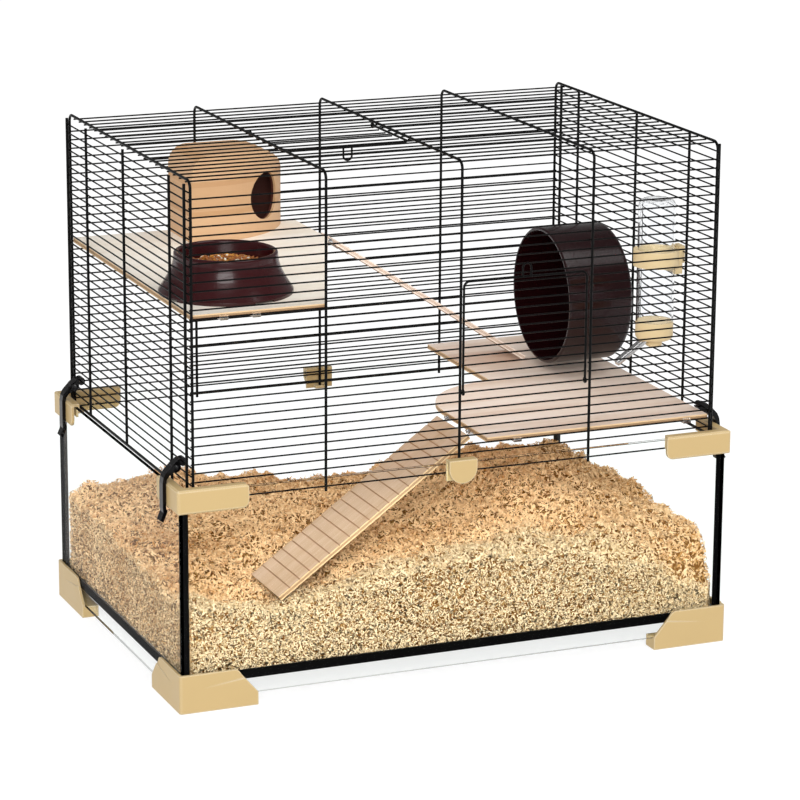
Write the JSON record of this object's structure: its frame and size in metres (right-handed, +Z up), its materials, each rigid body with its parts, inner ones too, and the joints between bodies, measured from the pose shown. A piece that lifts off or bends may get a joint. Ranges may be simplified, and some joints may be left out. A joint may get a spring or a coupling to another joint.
{
  "type": "rodent cage",
  "caption": "Glass tank with a lift-off wire hood, shelves and ramps, a wooden house, food bowl, running wheel and drinking bottle, for a hamster or gerbils.",
  "frame": {"origin": "on the ground under the middle of the cage", "axes": "+X to the right of the front, along the longest side; +Y to the back; +Z up"},
  "size_m": [0.6096, 0.401, 0.525],
  "materials": {
    "tank_glass": "polished float glass",
    "black_sealant": "satin silicone",
    "tan_plastic": "moulded satin",
    "wood_shavings": "loose dry shavings",
    "black_wire": "satin powder coat",
    "black_plastic": "moulded satin",
    "birch_plywood": "sanded, unvarnished",
    "clear_plastic": "clear moulded",
    "steel": "bright drawn",
    "aubergine_plastic": "glossy moulded",
    "food_mix": "dry seeds and pellets"
  },
  "bodies": {
    "tank": {"glass_front": "tank_glass", "glass_back": "tank_glass", "glass_left": "tank_glass", "glass_right": "tank_glass", "glass_floor": "tank_glass", "corner_seams": "black_sealant", "floor_seam": "black_sealant", "foot_front_left": "tan_plastic", "foot_front_right": "tan_plastic", "foot_back_left": "tan_plastic", "foot_back_right": "tan_plastic", "bracket_front_left": "tan_plastic", "bracket_front_right": "tan_plastic", "bracket_back_left": "tan_plastic", "bracket_back_right": "tan_plastic", "rim_clip_front": "tan_plastic", "rim_clip_back": "tan_plastic", "bedding": "wood_shavings"},
    "front_door": {"front_door": "black_wire", "front_door_loop": "black_wire"},
    "roof_door": {"roof_door": "black_wire", "roof_door_loop": "black_wire"},
    "latch_front_left": {"latch_front_left": "black_plastic"},
    "latch_front_right": {"latch_front_right": "black_plastic"},
    "latch_back_left": {"latch_back_left": "black_plastic"},
    "latch_back_right": {"latch_back_right": "black_plastic"},
    "wheel": {"wheel_drum": "aubergine_plastic"},
    "bowl": {"food_bowl": "aubergine_plastic", "food": "food_mix"},
    "house": {"house_roof": "birch_plywood", "house_walls": "birch_plywood"},
    "bottle": {"bottle_body": "clear_plastic", "bottle_cap": "tan_plastic", "bottle_spout": "steel", "spout_ball": "steel"},
    "upper_ramp": {"upper_ramp": "birch_plywood", "upper_ramp_hooks": "steel"},
    "lower_ramp": {"lower_ramp": "birch_plywood", "lower_ramp_hooks": "steel"},
    "hood": {"hoops": "black_wire", "front_grille_lower": "black_wire", "front_grille_left": "black_wire", "front_grille_right": "black_wire", "front_grille_upper": "black_wire", "back_grille": "black_wire", "roof_grille_front": "black_wire", "roof_grille_left": "black_wire", "roof_grille_right": "black_wire", "roof_grille_back": "black_wire", "side_panel_left": "black_wire", "side_panel_right": "black_wire", "upper_shelf": "birch_plywood", "lower_shelf": "birch_plywood", "shelf_clips": "clear_plastic", "ramp_staples": "steel", "wheel_axle": "steel", "wheel_mount": "aubergine_plastic", "bottle_holder": "tan_plastic"}
  },
  "joints": [
    {"name": "hood_lift", "type": "slide", "parent": "tank", "child": "hood", "axis": [0, 0, 1], "range_m": [0, 0.16]},
    {"name": "front_door_swing", "type": "hinge", "parent": "hood", "child": "front_door", "pos_m": [0.07075, -0.18688, 0.29147], "axis": [1, 0, 0], "range_deg": [0, 150]},
    {"name": "roof_door_swing", "type": "hinge", "parent": "hood", "child": "roof_door", "pos_m": [-0.07075, 0.03068, 0.52138], "axis": [-1, 0, 0], "range_deg": [0, 135]},
    {"name": "wheel_spin", "type": "hinge", "parent": "hood", "child": "wheel", "pos_m": [0.264, 0.04, 0.32349], "axis": [1, 0, 0], "continuous": true},
    {"name": "bowl_lift", "type": "slide", "parent": "hood", "child": "bowl", "axis": [0, 0, 1], "range_m": [0, 0.06]},
    {"name": "house_lift", "type": "slide", "parent": "hood", "child": "house", "axis": [0, 0, 1], "range_m": [0, 0.03]},
    {"name": "bottle_lift", "type": "slide", "parent": "hood", "child": "bottle", "axis": [0, 0, 1], "range_m": [0, 0.05]},
    {"name": "upper_ramp_swing", "type": "hinge", "parent": "hood", "child": "upper_ramp", "pos_m": [-0.0269, 0.106, 0.38978], "axis": [0, -1, 0], "range_deg": [0, 2.5]},
    {"name": "lower_ramp_swing", "type": "hinge", "parent": "hood", "child": "lower_ramp", "pos_m": [0.0289, -0.119, 0.23797], "axis": [0, 1, 0], "range_deg": [0, 35]},
    {"name": "latch_front_left_swing", "type": "hinge", "parent": "hood", "child": "latch_front_left", "pos_m": [-0.28032, -0.163, 0.24529], "axis": [0, 1, 0], "range_deg": [0, 69]},
    {"name": "latch_front_right_swing", "type": "hinge", "parent": "hood", "child": "latch_front_right", "pos_m": [0.28032, -0.163, 0.24529], "axis": [0, -1, 0], "range_deg": [0, 69]},
    {"name": "latch_back_left_swing", "type": "hinge", "parent": "hood", "child": "latch_back_left", "pos_m": [-0.28032, 0.163, 0.24529], "axis": [0, 1, 0], "range_deg": [0, 69]},
    {"name": "latch_back_right_swing", "type": "hinge", "parent": "hood", "child": "latch_back_right", "pos_m": [0.28032, 0.163, 0.24529], "axis": [0, -1, 0], "range_deg": [0, 69]}
  ],
  "couplings": [
    {"joint": "latch_front_left_swing", "follows": "hood_lift", "rad_per_m": 7.5},
    {"joint": "latch_front_right_swing", "follows": "hood_lift", "rad_per_m": 7.5},
    {"joint": "latch_back_left_swing", "follows": "hood_lift", "rad_per_m": 7.5},
    {"joint": "latch_back_right_swing", "follows": "hood_lift", "rad_per_m": 7.5}
  ]
}
